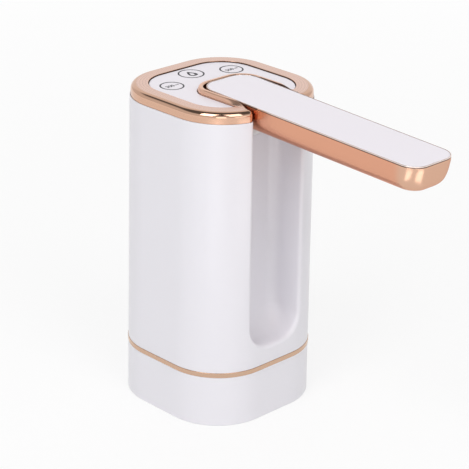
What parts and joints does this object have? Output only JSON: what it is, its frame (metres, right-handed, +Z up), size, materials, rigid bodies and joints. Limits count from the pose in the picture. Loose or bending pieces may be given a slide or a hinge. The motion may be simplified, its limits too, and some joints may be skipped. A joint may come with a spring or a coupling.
{
  "type": "electric water jug pump",
  "caption": "White rounded-square electric pump that sits on a water jug's neck, with a rose-gold trimmed top, touch keys and a spout arm that folds down into the front.",
  "frame": {"origin": "centre of the neck socket, at the level that the base stands on", "axes": "+X the way the raised spout points, +Y to the left of someone looking along the spout, +Z up"},
  "size_m": [0.1556, 0.0722, 0.1452],
  "materials": {
    "white_shell": "glossy white ABS",
    "rose_gold": "rose-gold plating on plastic, satin top and polished edges",
    "silicone": "milky food-grade silicone",
    "steel": "turned stainless steel",
    "black_plastic": "black moulded plastic",
    "circuit_board": "green circuit board",
    "copper": "copper",
    "iron": "dark sintered magnet and laminated iron",
    "cell": "shrink-wrapped lithium cell",
    "bronze": "sintered bronze",
    "black_rubber": "black rubber",
    "white_moulding": "white moulded plastic"
  },
  "bodies": {
    "housing": {"body_shell": "white_shell", "base_skirt": "white_shell", "trim_ring": "rose_gold", "neck_seal": "silicone", "lower_deck": "white_moulding", "deck_screws": "steel", "top_ring": "rose_gold", "touch_panel": "white_shell", "touch_board": "circuit_board", "hinge_frame": "white_shell", "frame_screws": "steel", "hinge_pin": "steel", "water_swivel": "steel", "swivel_seals": "black_rubber", "hinge_washers": "black_plastic", "suction_elbow": "white_moulding", "inlet_hose": "silicone", "outlet_hose": "silicone", "pump_mount": "black_rubber", "pump_head": "black_plastic", "check_valves": "silicone", "valve_plate": "white_moulding", "diaphragm": "silicone", "wobble_plate": "white_moulding", "crank_housing": "black_plastic", "pump_screws": "steel", "motor_can": "steel", "motor_magnets": "iron", "motor_bushes": "bronze", "motor_cap": "black_plastic", "battery_cell": "cell", "battery_cradle": "black_plastic", "main_board": "circuit_board", "board_parts": "black_plastic", "board_screws": "steel", "usb_socket": "steel"},
    "spout_arm": {"arm_trough": "rose_gold", "arm_cover": "white_shell", "arm_tube": "silicone", "outlet_nozzle": "steel"},
    "motor_drive": {"motor_shaft": "steel", "rotor_core": "iron", "commutator": "copper", "crank_hub": "white_moulding", "crank_pin": "steel"}
  },
  "joints": [
    {"name": "arm_fold", "type": "hinge", "parent": "housing", "child": "spout_arm", "pos_m": [0.0225, 0, 0.132], "axis": [0, 1, 0], "range_deg": [0, 88.05]},
    {"name": "motor_spin", "type": "hinge", "parent": "housing", "child": "motor_drive", "pos_m": [-0.0036, -0.0168, 0.081], "axis": [0, 0, 1], "continuous": true}
  ]
}
